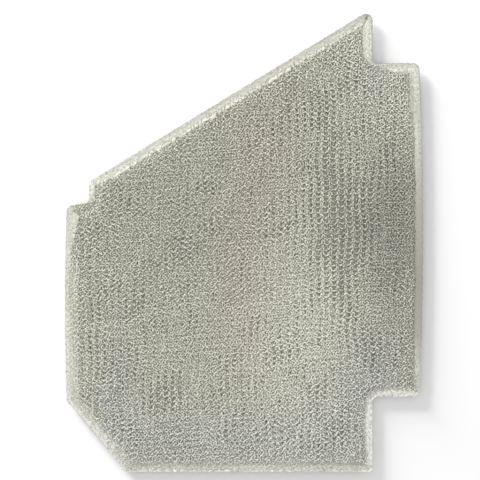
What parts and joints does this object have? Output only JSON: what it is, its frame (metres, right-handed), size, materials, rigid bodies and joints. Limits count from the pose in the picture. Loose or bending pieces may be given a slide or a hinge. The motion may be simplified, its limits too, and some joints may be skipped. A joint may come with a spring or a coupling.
{
  "type": "cooker hood grease filter",
  "caption": "Frameless pad of knitted aluminium mesh with a crushed rim and an uneven notched outline with a sloping edge, that traps grease in a cooker hood.",
  "frame": {"origin": "middle of the outline's box, on the surface that the filter lies on", "axes": "+Z through the thickness, +Y along the length towards the peak, +X towards the ear between the two large notches"},
  "size_m": [0.269, 0.344, 0.009],
  "materials": {
    "knitted_mesh": "dull drawn wire, knitted in layers and pressed"
  },
  "bodies": {
    "root": {"filter_pad": "knitted_mesh"}
  },
  "joints": []
}
